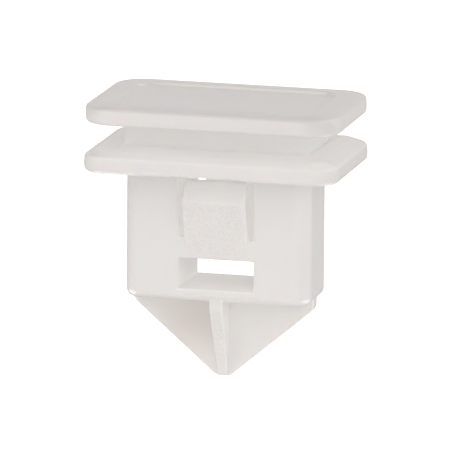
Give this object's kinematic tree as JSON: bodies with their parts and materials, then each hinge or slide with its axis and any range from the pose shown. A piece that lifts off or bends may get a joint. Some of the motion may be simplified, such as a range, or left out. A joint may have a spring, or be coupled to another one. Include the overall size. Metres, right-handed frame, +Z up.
{
  "type": "moulding clip",
  "caption": "One-piece nylon clip with a head plate for a trim moulding's channel, a panel flange, a slotted shank with snap barbs and a pointed cross-shaped tip.",
  "frame": {"origin": "middle of the flange's underside, at the plane that seats on the panel", "axes": "+Z up through the head, against the way the clip is pushed in; +X along the plates' long sides; +Y along their short sides, towards one of the barbs"},
  "size_m": [0.024, 0.0154, 0.0259],
  "materials": {
    "natural_nylon": "milky, slightly translucent satin nylon, as moulded"
  },
  "bodies": {
    "root": {"moulding_clip": "natural_nylon"}
  },
  "joints": []
}
